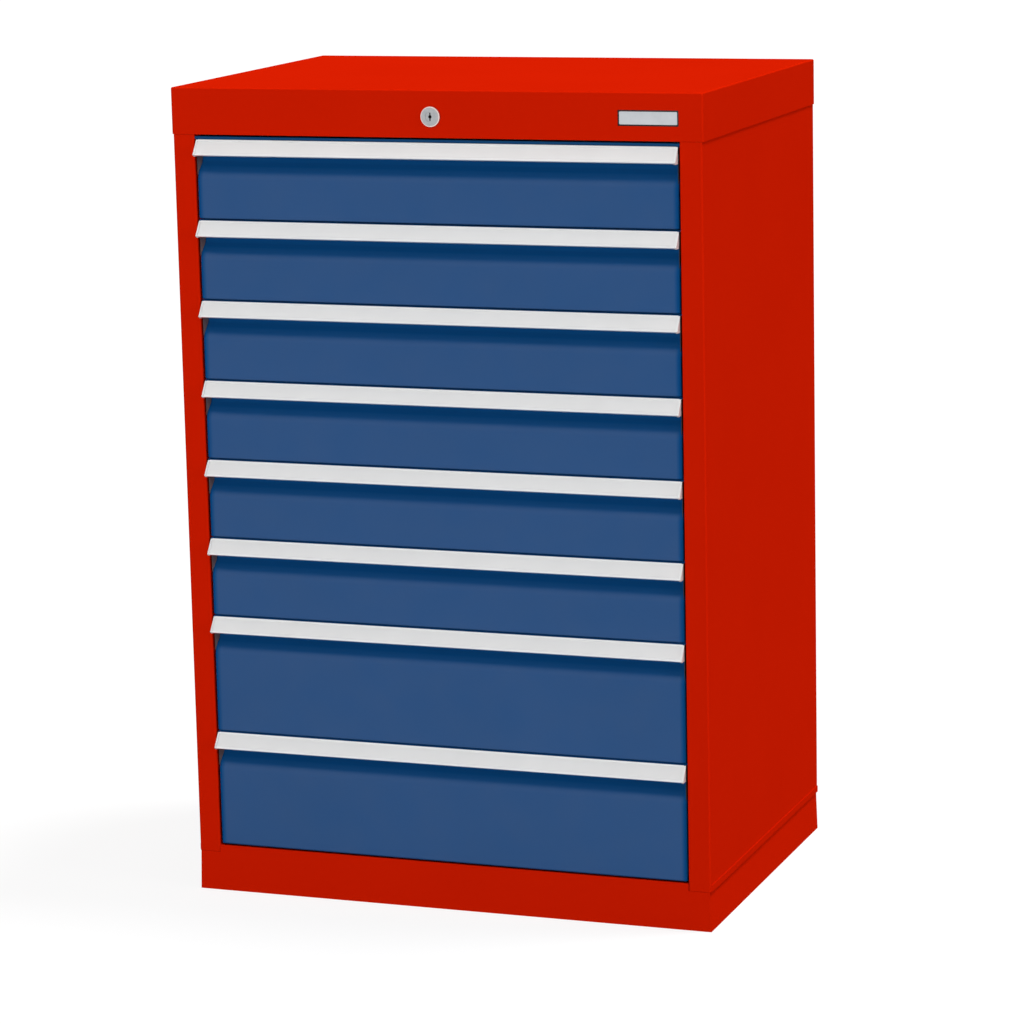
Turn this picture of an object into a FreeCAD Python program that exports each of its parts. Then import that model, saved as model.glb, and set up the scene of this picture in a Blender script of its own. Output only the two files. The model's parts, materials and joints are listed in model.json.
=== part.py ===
import FreeCAD, Part
import math
import os

Vector = FreeCAD.Vector

# Steel drawer cabinet, millimetres. X runs across the front, the drawers
# face -Y, Z is up, and the origin is at the bottom centre of the whole box.

# Body shell
body_width = 680.0
body_depth = 482.0
steel_sheet = 1.25
seam_gap = 0.3
bend_radius = 2.0
post_width = 28.0
opening_bottom = 59.5
spare_height = 4.0
top_gap = 6.1
bottom_gap = 1.2
post_return_depth = 25.0
post_lip_width = 12.0
rear_flange_width = 20.0
hem_height = 8.0
hem_proud = 1.0
hem_start = 3.0
back_sheet = 1.0

# Top cover
skirt_height = 57.5
lid_overlap = 1.5
lid_flange_depth = 18.0
lid_clearance = 2.0

# Plinth and base panel
plinth_height = 50.0
plinth_sheet = 1.5
plinth_inset = 1.3
plinth_flare = 1.8
plinth_foot_depth = 20.0
base_level = 58.0
base_flange = 18.0

# Drawers, from the top down
small_drawers = 6
small_pitch = 100.0
large_drawers = 2
large_pitch = 150.0
front_gap = 2.0
side_gap = 2.0
front_recess = 1.5

# Small angle that narrows the slot between the top cover and the top drawer
top_rail_sheet = 1.2
top_rail_gap = 1.2
top_rail_depth = 12.0

# Folded drawer front
front_sheet = 1.0
recess_depth = 17.0
recess_wall_foot = 28.0
recess_corner = 45.0
recess_radii = (0.5, 8.0, 18.0)
front_bend_radius = 2.0
rear_lip_height = 12.0

# Handle strip, a sloping extrusion with a slot for the label strip
handle_reach = 12.7
handle_drop = 18.1
handle_wall = 1.2
handle_leg = 15.0
handle_leg_wall = 1.4
handle_land = 0.8
grip_bead_radius = 1.3
label_lip_width = 2.2
label_lip_wall = 0.5
label_lip_overhang = 0.8
label_slot_depth = 0.5
label_thickness = 0.4
label_play = 0.2
end_cap_thickness = 2.5
end_cap_web = 1.0
end_cap_fit = 0.25
end_cap_rim = 0.4
end_cap_nose = 0.4
end_cap_trim = 0.8
end_cap_apex = 1.5

# Drawer tray
tray_side_room = 23.0
tray_sheet = 1.0
tray_rear_room = 19.5
tray_floor_lift = 5.0
tray_rim_drop = 12.0
tray_rim_width = 8.0
tray_rim_lip = 6.0

# Telescopic slides
rail_setback = 11.0
rail_rear_gap = 0.5
rail_height = 40.0
rail_sheet = 1.5
rail_play = 0.8
rail_hook_lip = 5.0
rail_lift = 32.0
slide_width = 20.0
rail_neck_gap = 2.0
hook_tab_height = 8.0
hook_tab_width = 10.0
hook_tab_reach = 2.5
hook_tab_spread = 12.0
slot_play = 0.3

# Uprights that carry the slides
upright_width = 30.0
upright_front_gap = 32.5
upright_rear_gap = 25.0

# Cylinder lock in the middle of the front skirt
lock_height = 32.0
lock_flange_radius = 12.5
lock_flange_thickness = 2.5
lock_flange_bevel = 0.8
lock_body_radius = 9.25
lock_body_length = 19.0
lock_hole_play = 0.25
plug_radius = 6.0
plug_play = 0.05
plug_face_recess = 0.6
keyway_width = 1.5
keyway_height = 10.0
keyway_depth = 9.0
keyway_core_radius = 2.1
cam_thickness = 1.5
cam_arm = 8.0
cam_edge = 4.5
cam_pin_radius = 2.5
cam_pin_end = 1.0

# Locking bar and the lugs it stands in front of
bar_thickness = 3.0
bar_width = 12.0
bar_side_gap = 1.5
bar_foot = 40.0
bar_arm_height = 26.0
bar_arm_end = 20.0
bar_lift = 8.0
bar_slot_play = 0.3
hook_height = 5.0
hook_reach = 13.5
hook_clearance = 1.0
lug_clearance = 1.5
lug_height = 10.0
lug_depth = 10.0
lug_reach = 15.0
lug_gap = 1.2

# Name plate
plate_width = 75.5
plate_height = 19.0
plate_edge = 30.0
plate_drop = 21.0
plate_recess = 0.6
plate_fit = 0.9
plate_flange = 3.0
plate_flange_thickness = 1.2
plate_corner = 1.5

# Sizes that follow
half_body = body_width / 2
half_opening = half_body - post_width
handle_proud = handle_reach + end_cap_rim - end_cap_fit - front_recess
front_y = -(body_depth + handle_proud) / 2 + handle_proud
rear_y = front_y + body_depth
body_rear_y = rear_y - lid_overlap
pitches = [small_pitch] * small_drawers + [large_pitch] * large_drawers
opening_top = opening_bottom + sum(pitches) + spare_height
cabinet_height = opening_top + skirt_height
body_foot = plinth_height + seam_gap
body_top = cabinet_height - steel_sheet - lid_clearance

panel_y = front_y + front_recess
half_front = half_opening - side_gap
tray_front_y = panel_y + recess_depth + front_sheet
tray_back_y = body_rear_y - tray_rear_room
half_tray = half_opening - tray_side_room
rail_front_y = tray_front_y + rail_setback
rail_back_y = tray_back_y - rail_rear_gap
slide_outer_x = half_tray + slide_width

lock_z = cabinet_height - lock_height
bar_y = front_y + post_return_depth + seam_gap
bar_x = half_opening + bar_side_gap


def drawer_levels():
    """Top edge and bottom edge of every drawer front, from the top down."""
    tops = []
    level = opening_top - top_gap
    for pitch in pitches:
        tops.append(level)
        level -= pitch
    bottoms = [top + front_gap for top in tops[1:]]
    bottoms.append(opening_bottom + bottom_gap)
    return list(zip(tops, bottoms))


def slide_level(bottom):
    """Middle height of the telescopic slides of a drawer."""
    return bottom + tray_floor_lift + rail_lift


def block(x1, x2, y1, y2, z1, z2):
    """Box between two corners."""
    low = Vector(min(x1, x2), min(y1, y2), min(z1, z2))
    return Part.makeBox(abs(x2 - x1), abs(y2 - y1), abs(z2 - z1), low)


def joined(shapes):
    """One solid from pieces that touch or overlap."""
    return shapes[0].multiFuse(shapes[1:]).removeSplitter()


def mirrored(shape):
    """The same shape on the other side of the cabinet."""
    return shape.mirror(Vector(0, 0, 0), Vector(1, 0, 0))


def pair(shape):
    """A right-hand piece and its left-hand twin, as two solids."""
    return [shape, mirrored(shape)]


def near(value, target):
    return abs(value - target) < 0.001


def rounded(shape, radius, test):
    """Round the edges whose two ends both pass the test."""
    edges = [edge for edge in shape.Edges if all(test(end.Point) for end in edge.Vertexes)]
    return shape.makeFillet(radius, edges)


def front_point(out, up, top):
    """Point in a drawer's side view: out is ahead of its panel, up is from its top edge."""
    return Vector(0, panel_y - out, top + up)


def along_x(face, x1, x2):
    """Face drawn at x = 0, swept from x1 to x2."""
    return face.translated(Vector(x1, 0, 0)).extrude(Vector(x2 - x1, 0, 0))


def polygon_face(points):
    return Part.Face(Part.makePolygon(points + [points[0]]))


def rounded_path(points, radii):
    """Straight runs joined by tangent arcs, one radius for each inner point."""
    edges = []
    start = points[0]
    for index, radius in enumerate(radii, start=1):
        corner = points[index]
        back = (points[index - 1] - corner).normalize()
        ahead = (points[index + 1] - corner).normalize()
        half_angle = back.getAngle(ahead) / 2
        reach = radius / math.tan(half_angle)
        middle_line = (back + ahead).normalize()
        centre = corner + middle_line * (radius / math.sin(half_angle))
        arc_start = corner + back * reach
        arc_middle = centre - middle_line * radius
        arc_end = corner + ahead * reach
        edges.append(Part.LineSegment(start, arc_start).toShape())
        edges.append(Part.Arc(arc_start, arc_middle, arc_end).toShape())
        start = arc_end
    edges.append(Part.LineSegment(start, points[-1]).toShape())
    return Part.Wire(edges)


def save(name, solids):
    """Write one node, made of one solid or of a list of separate solids."""
    shape = Part.makeCompound(solids) if isinstance(solids, list) else solids
    shape.exportStep("parts/" + name + ".step")


def side_panel():
    """Right side wall, folded into the front post and the rear flange."""
    post_top = opening_top - seam_gap
    inner_x = half_body - steel_sheet
    return_end = front_y + post_return_depth
    flange_back = body_rear_y - back_sheet
    upper_front = front_y + steel_sheet + seam_gap
    panel = joined([
        block(inner_x, half_body, upper_front, body_rear_y, body_foot, body_top),
        block(inner_x, half_body, front_y, upper_front, body_foot, post_top),
        block(half_opening, half_body, front_y, front_y + steel_sheet, body_foot, post_top),
        block(half_opening, half_opening + steel_sheet, front_y, return_end, body_foot, post_top),
        block(half_opening, half_opening + post_lip_width, return_end - steel_sheet, return_end,
              body_foot, post_top),
        block(half_body - rear_flange_width, half_body, flange_back - steel_sheet, flange_back,
              body_foot, body_top),
    ])
    panel = rounded(panel, bend_radius, lambda p: near(p.y, front_y) and near(p.x, half_body))
    panel = rounded(panel, bend_radius, lambda p: near(p.y, front_y) and near(p.x, half_opening))
    hem = block(half_body, half_body + hem_proud, front_y + hem_start, body_rear_y,
                body_foot, body_foot + hem_height)
    return joined([panel, hem])


def back_panel():
    """Flat sheet that closes the back between the side walls."""
    half_width = half_body - steel_sheet - seam_gap
    return block(-half_width, half_width, body_rear_y - back_sheet, body_rear_y, body_foot, body_top)


def top_cover():
    """Folded lid with a skirt on four sides, a lock hole and a window for the name plate."""
    half_lid = half_body + lid_overlap
    shell = block(-half_lid, half_lid, front_y, rear_y, opening_top, cabinet_height)
    open_edge = [edge for edge in shell.Edges if near(edge.CenterOfMass.z, opening_top)]
    shell = shell.makeFillet(bend_radius, [edge for edge in shell.Edges
                                           if not any(edge.isSame(other) for other in open_edge)])
    hollow = block(-half_lid + steel_sheet, half_lid - steel_sheet, front_y + steel_sheet,
                   rear_y - steel_sheet, opening_top, cabinet_height - steel_sheet)
    flange_half = half_body - steel_sheet - seam_gap
    flange = block(-flange_half, flange_half, front_y, front_y + lid_flange_depth,
                   opening_top, opening_top + steel_sheet)
    cover = joined([shell.cut(hollow), flange])
    lock_hole = Part.makeCylinder(lock_body_radius + lock_hole_play, steel_sheet,
                                  lock_point(0), Vector(0, 1, 0))
    return cover.cut(lock_hole).cut(name_plate_block(0, front_y, steel_sheet))


def name_plate_block(clearance, y, depth):
    """Rounded block of the name plate's size, less a clearance all round."""
    right = half_body + lid_overlap - plate_edge - clearance
    left = right - plate_width + 2 * clearance
    high = cabinet_height - plate_drop - clearance
    low = high - plate_height + 2 * clearance
    plate = block(left, right, y, y + depth, low, high)
    for x in (left, right):
        for z in (low, high):
            plate = rounded(plate, plate_corner, lambda p: near(p.x, x) and near(p.z, z))
    return plate


def name_plate():
    """Blank plate that sits in its window from behind, with a flange inside the skirt."""
    face_y = front_y + plate_recess
    back_y = front_y + steel_sheet
    face = name_plate_block(plate_fit, face_y, back_y - face_y)
    flange = name_plate_block(-plate_flange, back_y, plate_flange_thickness)
    return joined([face, flange])


def ring(half_low, half_high, y_low, y_high, z_low, z_high):
    """Solid between two rectangles, one at each height, as wide as the two half widths."""
    wires = []
    for half, z in ((half_low, z_low), (half_high, z_high)):
        corners = [Vector(-half, y_low, z), Vector(half, y_low, z), Vector(half, y_high, z),
                   Vector(-half, y_high, z)]
        wires.append(Part.makePolygon(corners + [corners[0]]))
    return Part.makeLoft(wires, True, True)


def plinth():
    """Folded base ring that flares towards the floor, with a foot flange turned inwards."""
    half_high = half_body - plinth_inset
    half_low = half_high + plinth_flare
    wall = plinth_sheet
    outer = ring(half_low, half_high, front_y, body_rear_y, 0, plinth_height)
    inner = ring(half_low - wall, half_high - wall, front_y + wall, body_rear_y - wall, 0, plinth_height)
    foot_half = half_high - plinth_foot_depth
    foot_hole = block(-foot_half, foot_half, front_y + plinth_foot_depth,
                      body_rear_y - plinth_foot_depth, 0, wall)
    foot = ring(half_low - wall, half_low - wall, front_y + wall, body_rear_y - wall, 0, wall).cut(foot_hole)
    step_half = half_opening - seam_gap
    step = block(-step_half, step_half, front_y, front_y + wall, plinth_height, opening_bottom)
    return joined([outer.cut(inner), foot, step])


def base_panel():
    """Floor of the cabinet, a tray turned upside down and notched round the posts."""
    half_width = half_body - plinth_inset - plinth_sheet - seam_gap
    front_edge = front_y + plinth_sheet + seam_gap
    rear_edge = body_rear_y - back_sheet - steel_sheet - seam_gap
    notch_edge = front_y + post_return_depth + seam_gap
    half_front_edge = half_opening - seam_gap
    low = base_level - steel_sheet
    foot = low - base_flange
    panel = joined([
        block(-half_width, half_width, notch_edge, rear_edge, low, base_level),
        block(-half_front_edge, half_front_edge, front_edge, notch_edge, low, base_level),
        block(-half_front_edge, half_front_edge, front_edge, front_edge + steel_sheet, foot, base_level),
        block(-half_width, half_width, rear_edge - steel_sheet, rear_edge, foot, base_level),
        block(half_width - steel_sheet, half_width, notch_edge, rear_edge, foot, base_level),
        block(-half_width, -half_width + steel_sheet, notch_edge, rear_edge, foot, base_level),
    ])
    return panel


def upright(y_front):
    """Right-hand channel that stands between a side wall and the slides, slotted for their tabs."""
    wall_x = half_body - steel_sheet
    top = opening_top - seam_gap
    web_back = slide_outer_x + steel_sheet
    channel = joined([
        block(slide_outer_x, web_back, y_front, y_front + upright_width, base_level, top),
        block(slide_outer_x, wall_x, y_front, y_front + steel_sheet, base_level, top),
        block(slide_outer_x, wall_x, y_front + upright_width - steel_sheet, y_front + upright_width,
              base_level, top),
    ])
    for level, bottom in drawer_levels():
        for z in (slide_level(bottom) - hook_tab_spread, slide_level(bottom) + hook_tab_spread):
            channel = channel.cut(hook_tab(y_front, z, slot_play))
    return channel


def hook_tab(y_front, z, play):
    """Tab on the back of a slide that hooks into an upright, or its slot with some play."""
    middle = y_front + upright_width / 2
    half_width = hook_tab_width / 2 + play
    half_height = hook_tab_height / 2 + play
    return block(slide_outer_x, slide_outer_x + hook_tab_reach, middle - half_width, middle + half_width,
                 z - half_height, z + half_height)


def upright_fronts():
    """Front face of the front and of the rear upright."""
    return (front_y + upright_front_gap, body_rear_y - upright_rear_gap - upright_width)


def slide_channel(web_x, inward, half_height):
    """Outer slide member: a web, two flanges and the lips that hold the middle member."""
    flange_x = web_x + inward * (slide_width / 2 - rail_neck_gap / 2)
    web_end = web_x + inward * rail_sheet
    lip_start = flange_x - inward * rail_sheet
    pieces = [block(web_x, web_end, rail_front_y, rail_back_y, -half_height, half_height)]
    for side in (-1, 1):
        edge = side * half_height
        pieces.append(block(web_x, flange_x, rail_front_y, rail_back_y, edge, edge - side * rail_sheet))
        pieces.append(block(lip_start, flange_x, rail_front_y, rail_back_y,
                            edge, edge - side * rail_hook_lip))
    return joined(pieces)


def middle_member():
    """Middle slide member: a web and two flanges whose lips run inside both channels."""
    half_height = rail_height / 2
    bar_top = half_height - rail_hook_lip - rail_play
    lip_top = half_height - rail_sheet - rail_play
    x1 = half_tray + rail_sheet + rail_play
    x2 = slide_outer_x - rail_sheet - rail_play
    middle_x = (x1 + x2) / 2
    pieces = [block(middle_x - rail_sheet / 2, middle_x + rail_sheet / 2, rail_front_y, rail_back_y,
                    -bar_top, bar_top)]
    for side in (-1, 1):
        flange = side * bar_top
        pieces.append(block(x1, x2, rail_front_y, rail_back_y, flange, flange - side * rail_sheet))
        pieces.append(block(x1, x1 + rail_sheet, rail_front_y, rail_back_y, flange, side * lip_top))
        pieces.append(block(x2, x2 - rail_sheet, rail_front_y, rail_back_y, flange, side * lip_top))
    return joined(pieces)


def cabinet_rail():
    """Slide member that stays in the cabinet, with its hook tabs, at height 0."""
    pieces = [slide_channel(slide_outer_x, -1, rail_height / 2)]
    for y_front in upright_fronts():
        pieces.append(hook_tab(y_front, -hook_tab_spread, 0))
        pieces.append(hook_tab(y_front, hook_tab_spread, 0))
    return joined(pieces)


def top_rail():
    """Small angle under the front flange of the top cover, over the top drawer."""
    half_length = half_opening - seam_gap
    low = opening_top - top_gap + end_cap_rim + top_rail_gap
    high = opening_top - seam_gap
    wall = block(-half_length, half_length, panel_y, panel_y + top_rail_sheet, low, high)
    flange = block(-half_length, half_length, panel_y, panel_y + top_rail_depth,
                   high - top_rail_sheet, high)
    return joined([wall, flange])


def front_path(top, bottom):
    """Corners of the folded front seen from the side, from its top edge round to its rear lip."""
    drop = bottom - top
    return [
        front_point(-front_sheet, -front_sheet, top),
        front_point(-recess_depth, -front_sheet, top),
        front_point(-recess_depth, -recess_wall_foot, top),
        front_point(0, -recess_corner, top),
        front_point(0, drop, top),
        front_point(-recess_depth - front_sheet, drop, top),
        front_point(-recess_depth - front_sheet, drop + rear_lip_height, top),
    ]


def drawer_front(top, bottom):
    """Folded front sheet with its finger recess, closed at both ends below the recess."""
    points = front_path(top, bottom)
    outline = rounded_path(points, recess_radii + (front_bend_radius, front_bend_radius))
    section = outline.makeOffset2D(-front_sheet, 0, True, True)
    wall_foot = points[2] + Vector(0, 0, recess_radii[1])
    rear_foot = wall_foot + Vector(0, front_sheet, 0)
    end_outline = rounded_path([wall_foot] + points[2:6], recess_radii[1:] + (front_bend_radius,))
    closing = Part.makePolygon([points[5], rear_foot, wall_foot])
    end_face = Part.Face(Part.Wire(end_outline.Edges + closing.Edges))
    pieces = [along_x(section, -half_front, half_front)]
    for side in (-1, 1):
        pieces.append(along_x(end_face, side * half_front, side * (half_front - front_sheet)))
    limits = block(-half_front, half_front, panel_y, tray_front_y, bottom, top)
    limits = rounded(limits, front_bend_radius,
                     lambda p: near(p.y, panel_y) and near(abs(p.x), half_front))
    return joined(pieces).common(limits).Solids[0]


def slope_point(along, out, top):
    """Point on the handle's section: along its slope from the top edge, and out from its face."""
    length = math.hypot(handle_reach, handle_drop)
    run = Vector(0, -handle_reach / length, -handle_drop / length)
    normal = Vector(0, -handle_drop / length, handle_reach / length)
    return front_point(0, 0, top) + run * along + normal * out


def handle(top):
    """Extruded handle strip: a label slot on the slope, a grip bead below and a leg behind."""
    length = math.hypot(handle_reach, handle_drop)
    slot = -label_lip_wall - label_slot_depth
    back = slot - handle_wall
    inner_low = length - label_lip_width
    leg_low = -front_sheet - handle_leg_wall
    leg_meets = -back * math.hypot(handle_reach, handle_drop) / handle_drop
    points = [
        slope_point(0, 0, top),
        slope_point(label_lip_width, 0, top),
        slope_point(label_lip_width, -label_lip_wall, top),
        slope_point(label_lip_width - label_lip_overhang, -label_lip_wall, top),
        slope_point(label_lip_width - label_lip_overhang, slot, top),
        slope_point(inner_low + label_lip_overhang, slot, top),
        slope_point(inner_low + label_lip_overhang, -label_lip_wall, top),
        slope_point(inner_low, -label_lip_wall, top),
        slope_point(inner_low, 0, top),
        slope_point(length, 0, top),
        slope_point(length, back, top),
        front_point(handle_reach * -leg_low / handle_drop - leg_meets, leg_low, top),
        front_point(-handle_leg, leg_low, top),
        front_point(-handle_leg, -front_sheet, top),
        front_point(-handle_land, -front_sheet, top),
        front_point(-handle_land, 0, top),
    ]
    half_length = half_front - end_cap_thickness
    profile = along_x(polygon_face(points), -half_length, half_length)
    bead_centre = slope_point(length - grip_bead_radius, slot - grip_bead_radius, top)
    bead = Part.makeCylinder(grip_bead_radius, 2 * half_length, bead_centre - Vector(half_length, 0, 0),
                             Vector(1, 0, 0))
    return joined([profile, bead])


def label_strip(top):
    """Blank label strip, held under the two lips of the handle."""
    length = math.hypot(handle_reach, handle_drop)
    first = label_lip_width - label_lip_overhang + label_play
    last = length - first
    floor = -label_lip_wall - label_slot_depth
    face = floor + label_thickness
    points = [slope_point(first, floor, top), slope_point(last, floor, top),
              slope_point(last, face, top), slope_point(first, face, top)]
    half_length = half_front - end_cap_thickness - label_play
    return along_x(polygon_face(points), -half_length, half_length)


def end_caps(top):
    """Moulded caps: a head over each end of the handle, and a thin web that closes the recess."""
    length = math.hypot(handle_reach, handle_drop)
    bead_back = label_lip_wall + label_slot_depth + 2 * grip_bead_radius
    head_foot = slope_point(length + end_cap_rim, -bead_back, top)
    slope = math.atan2(recess_depth, recess_corner - recess_wall_foot)
    ease = recess_radii[1] * math.tan(slope / 2)
    shoulder = recess_depth * (1 - end_cap_trim)
    shoulder_up = -recess_wall_foot - (recess_corner - recess_wall_foot) * end_cap_trim
    cap_points = [
        front_point(0, end_cap_rim, top),
        front_point(handle_reach + end_cap_rim, -handle_drop + end_cap_rim, top),
        front_point(handle_reach + end_cap_rim, -handle_drop - end_cap_nose, top),
        head_foot,
        front_point(end_cap_fit, head_foot.z - top, top),
        front_point(end_cap_fit, -recess_corner - end_cap_apex, top),
        front_point(-shoulder, shoulder_up, top),
        front_point(ease * math.sin(slope) - recess_depth,
                    -ease * math.cos(slope) - recess_wall_foot, top),
        front_point(-recess_depth, ease - recess_wall_foot, top),
        front_point(-recess_depth, -front_sheet, top),
        front_point(-front_sheet, -front_sheet, top),
        front_point(-front_sheet, end_cap_rim, top),
    ]
    face = polygon_face(cap_points).makeOffset2D(-end_cap_fit)
    ahead = block(-half_front, half_front, panel_y - handle_reach - end_cap_rim, panel_y,
                  top - recess_corner, top + end_cap_rim)
    caps = []
    for side in (-1, 1):
        web = along_x(face, side * half_front, side * (half_front - end_cap_web))
        head = along_x(face, side * half_front, side * (half_front - end_cap_thickness))
        caps.append(joined([web, head.common(ahead)]))
    return caps


def drawer_tray(top, bottom):
    """Folded tray with a rolled rim, the lug for the locking bar and its two slide members."""
    low = bottom + tray_floor_lift
    high = top - tray_rim_drop
    sheet = tray_sheet
    outer = block(-half_tray, half_tray, tray_front_y, tray_back_y, low, high)
    inner = block(-half_tray + sheet, half_tray - sheet, tray_front_y + sheet, tray_back_y - sheet,
                  low + sheet, high)
    pieces = [outer.cut(inner)]
    rim_edge = half_tray + tray_rim_width
    rim_end = tray_back_y + tray_rim_width
    for side in (-1, 1):
        pieces.append(block(side * (half_tray - sheet), side * rim_edge, tray_front_y, rim_end,
                            high - sheet, high))
        pieces.append(block(side * (rim_edge - sheet), side * rim_edge, tray_front_y, rim_end,
                            high - tray_rim_lip, high))
    pieces.append(block(-rim_edge, rim_edge, tray_back_y - sheet, rim_end, high - sheet, high))
    pieces.append(block(-rim_edge, rim_edge, rim_end - sheet, rim_end, high - tray_rim_lip, high))
    lug_y = bar_y + bar_thickness + lug_gap
    lug_z = slide_level(bottom) + rail_height / 2 + hook_clearance + hook_height + lug_clearance
    lug = block(half_tray, half_tray + lug_reach, lug_y, lug_y + lug_depth, lug_z, lug_z + lug_height)
    rail = slide_channel(half_tray, 1, rail_height / 2)
    rail.translate(Vector(0, 0, slide_level(bottom)))
    return [joined(pieces), lug] + pair(rail)


def lock_point(out):
    """Point on the lock's axis at a depth behind the front skirt's face."""
    return Vector(0, front_y + out, lock_z)


def lock_housing():
    """Round lock body with a bevelled flange in front of the skirt and a bore for its plug."""
    axis = Vector(0, 1, 0)
    flange = Part.makeCylinder(lock_flange_radius, lock_flange_thickness,
                               lock_point(-lock_flange_thickness), axis)
    front_edge = [edge for edge in flange.Edges
                  if near(edge.BoundBox.YMax, front_y - lock_flange_thickness)]
    flange = flange.makeChamfer(lock_flange_bevel, front_edge)
    body = Part.makeCylinder(lock_body_radius, lock_body_length, lock_point(0), axis)
    bore = Part.makeCylinder(plug_radius + plug_play, lock_flange_thickness + lock_body_length,
                             lock_point(-lock_flange_thickness), axis)
    return joined([flange, body]).cut(bore)


def lock_plug():
    """Turning plug with its keyway in front, and behind it the cam with its pin."""
    axis = Vector(0, 1, 0)
    face_out = plug_face_recess - lock_flange_thickness
    cam_out = bar_y - seam_gap - cam_thickness - front_y
    plug = Part.makeCylinder(plug_radius, cam_out - face_out, lock_point(face_out), axis)
    keyway = joined([
        block(-keyway_width / 2, keyway_width / 2,
              front_y + face_out, front_y + face_out + keyway_depth,
              lock_z - keyway_height / 2, lock_z + keyway_height / 2),
        Part.makeCylinder(keyway_core_radius, keyway_depth, lock_point(face_out), axis),
    ])
    pin_start = lock_point(cam_out) + Vector(-cam_arm, 0, 0)
    cam = joined([
        Part.makeCylinder(plug_radius, cam_thickness, lock_point(cam_out), axis),
        Part.makeCylinder(cam_edge, cam_thickness, pin_start, axis),
        block(-cam_arm, 0, front_y + cam_out, front_y + cam_out + cam_thickness,
              lock_z - cam_edge, lock_z + cam_edge),
    ])
    pin_length = cam_thickness + seam_gap + bar_thickness + cam_pin_end
    pin = Part.makeCylinder(cam_pin_radius, pin_length, pin_start, axis)
    return joined([plug.cut(keyway), cam, pin])


def locking_bar():
    """Flat bar behind the right post, and welded to it an arm to the lock and a hook for every drawer."""
    back = bar_y + bar_thickness
    arm_low = lock_z - bar_arm_height / 2
    arm_high = lock_z + bar_arm_height / 2
    bar = block(bar_x, bar_x + bar_width, bar_y, back, base_level + bar_foot, arm_high)
    arm = block(-cam_arm - bar_arm_end, bar_x, bar_y, back, arm_low, arm_high)
    pin_rise = cam_rise_over_bar()
    slot_low = lock_z - cam_pin_radius - bar_slot_play
    slot_high = lock_z + cam_pin_radius + bar_slot_play + pin_rise
    slot_left = -cam_arm - cam_pin_radius - bar_slot_play
    slot_right = cam_pin_radius + bar_slot_play
    pieces = [bar, arm.cut(block(slot_left, slot_right, bar_y, back, slot_low, slot_high))]
    for top, bottom in drawer_levels():
        hook_low = slide_level(bottom) + rail_height / 2 + hook_clearance
        pieces.append(block(bar_x - hook_reach, bar_x, bar_y, back, hook_low, hook_low + hook_height))
    return pieces


def cam_rise_over_bar():
    """How far the pin, on its circle, gets ahead of a bar that rises at a steady rate."""
    quarter = math.pi / 2
    widest = math.acos(1 / quarter)
    return cam_arm * math.sin(widest) - bar_lift * widest / quarter


def build():
    os.makedirs("parts", exist_ok=True)
    save("side_panels", pair(side_panel()))
    save("back_panel", back_panel())
    save("top_cover", top_cover())
    save("name_plate", name_plate())
    save("plinth", plinth())
    save("base_panel", base_panel())
    save("uprights", [solid for y_front in upright_fronts() for solid in pair(upright(y_front))])
    save("lock_housing", lock_housing())
    save("lock_plug", lock_plug())
    save("locking_bar", locking_bar())
    save("top_rail", top_rail())
    cabinet_rails = []
    for number, (top, bottom) in enumerate(drawer_levels(), start=1):
        raised = Vector(0, 0, slide_level(bottom))
        cabinet_rails += pair(cabinet_rail().translated(raised))
        save("middle_rails_%d" % number, pair(middle_member().translated(raised)))
        save("drawer_tray_%d" % number, drawer_tray(top, bottom))
        save("drawer_front_%d" % number, drawer_front(top, bottom))
        save("handle_%d" % number, handle(top))
        save("label_strip_%d" % number, label_strip(top))
        save("end_caps_%d" % number, end_caps(top))
    save("cabinet_rails", cabinet_rails)


build()
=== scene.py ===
import json
import math
import bmesh
import bpy
from mathutils import Matrix, Vector


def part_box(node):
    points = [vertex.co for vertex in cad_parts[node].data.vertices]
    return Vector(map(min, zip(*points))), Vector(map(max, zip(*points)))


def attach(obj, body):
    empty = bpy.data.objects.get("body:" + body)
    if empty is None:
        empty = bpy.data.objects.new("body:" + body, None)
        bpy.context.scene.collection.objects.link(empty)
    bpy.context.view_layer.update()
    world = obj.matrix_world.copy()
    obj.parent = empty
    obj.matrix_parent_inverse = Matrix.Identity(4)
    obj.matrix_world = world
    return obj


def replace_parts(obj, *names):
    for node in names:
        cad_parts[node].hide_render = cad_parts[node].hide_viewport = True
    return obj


# Red drawer cabinet with eight blue drawers, metres, drawers face -Y, Z up

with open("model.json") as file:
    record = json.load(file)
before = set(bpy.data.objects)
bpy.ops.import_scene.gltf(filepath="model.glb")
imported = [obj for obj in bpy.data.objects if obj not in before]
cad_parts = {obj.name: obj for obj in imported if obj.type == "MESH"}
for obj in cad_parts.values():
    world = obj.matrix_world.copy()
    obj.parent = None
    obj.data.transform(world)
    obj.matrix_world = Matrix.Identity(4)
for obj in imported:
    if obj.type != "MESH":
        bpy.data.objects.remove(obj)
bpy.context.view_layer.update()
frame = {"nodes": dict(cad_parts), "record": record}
mm = 0.001
drawerNumbers = range(1, 9)


# Node helpers

def startMaterial(name):
    material = bpy.data.materials.new(name)
    material.use_nodes = True
    tree = material.node_tree
    return material, tree, tree.nodes["Principled BSDF"]


def addNode(tree, kind, settings=None, values=None):
    node = tree.nodes.new(kind)
    for key, value in (settings or {}).items():
        setattr(node, key, value)
    for key, value in (values or {}).items():
        node.inputs[key].default_value = value
    return node


def pieceCoords(tree, stretch=(1, 1, 1)):
    coords = addNode(tree, "ShaderNodeTexCoord")
    mapping = addNode(tree, "ShaderNodeMapping", values={"Scale": stretch})
    tree.links.new(coords.outputs["Object"], mapping.inputs["Vector"])
    return mapping.outputs["Vector"]


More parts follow.
